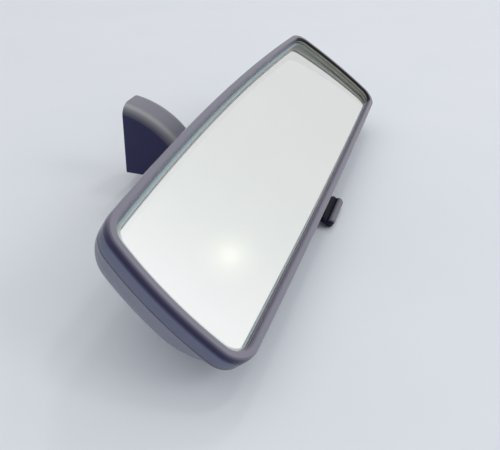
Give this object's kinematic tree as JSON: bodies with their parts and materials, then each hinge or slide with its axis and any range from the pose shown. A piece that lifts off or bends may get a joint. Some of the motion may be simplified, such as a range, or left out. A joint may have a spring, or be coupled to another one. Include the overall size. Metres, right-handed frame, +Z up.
{
  "type": "interior rearview mirror",
  "caption": "Interior rearview mirror: a wedge glass in a moulded case, a dip lever that tilts it for night, and a ball-jointed fin stem that slides onto a windscreen button.",
  "frame": {"origin": "centre of the stem's foot face, which lies against the windscreen", "axes": "+X along the mirror's length, +Z up from the bench the mirror lies on, so that the glass faces up and to -Y and the foot faces +Y"},
  "size_m": [0.2364, 0.1171, 0.0583],
  "materials": {
    "stem_plastic": "dark grey semi-gloss moulding",
    "case_plastic": "dark grey semi-gloss moulding",
    "lever_plastic": "near-black satin moulding",
    "inner_plastic": "black unfinished moulding",
    "liner_plastic": "natural acetal",
    "mirror_glass": "clear wedge silvered on its back",
    "adhesive": "black adhesive bed",
    "zinc": "as-cast zinc",
    "steel": "turned and plated",
    "spring_steel": "bright spring strip",
    "black_steel": "black plated"
  },
  "bodies": {
    "stem": {"stem_shell": "stem_plastic", "arm_core": "zinc", "ball_stud": "steel", "foot_spring": "spring_steel", "stem_screws": "black_steel"},
    "ball_yaw": {"ball_liner": "liner_plastic"},
    "ball_pitch": {"pressure_ring": "inner_plastic"},
    "carrier": {"toggle_bracket": "inner_plastic", "socket_cap": "inner_plastic", "socket_screws": "steel"},
    "head": {"front_bezel": "case_plastic", "rear_housing": "case_plastic", "prism_glass": "mirror_glass", "glass_bond": "adhesive", "backing_plate": "inner_plastic", "plate_screws": "steel", "pivot_pin": "steel", "pin_rings": "spring_steel", "lever_pin": "steel"},
    "lever": {"dip_lever": "lever_plastic"}
  },
  "joints": [
    {"name": "head_yaw", "type": "hinge", "parent": "stem", "child": "ball_yaw", "pos_m": [0, -0.07107, -0.0093], "axis": [0, 0.807, 0.5906], "range_deg": [-20, 20]},
    {"name": "head_pitch", "type": "hinge", "parent": "ball_yaw", "child": "ball_pitch", "pos_m": [0, -0.07107, -0.0093], "axis": [1, 0, 0], "range_deg": [-15, 15]},
    {"name": "head_roll", "type": "hinge", "parent": "ball_pitch", "child": "carrier", "pos_m": [0, -0.07107, -0.0093], "axis": [0, 0.5906, -0.807], "range_deg": [-10, 10]},
    {"name": "night_tilt", "type": "hinge", "parent": "carrier", "child": "head", "pos_m": [0, -0.05784, 0.01072], "axis": [1, 0, 0], "range_deg": [0, 4]},
    {"name": "lever_flip", "type": "hinge", "parent": "head", "child": "lever", "pos_m": [0, -0.09864, -0.0165], "axis": [1, 0, 0], "range_deg": [0, 38]}
  ],
  "couplings": [
    {"joint": "lever_flip", "follows": "night_tilt", "ratio": 9}
  ]
}
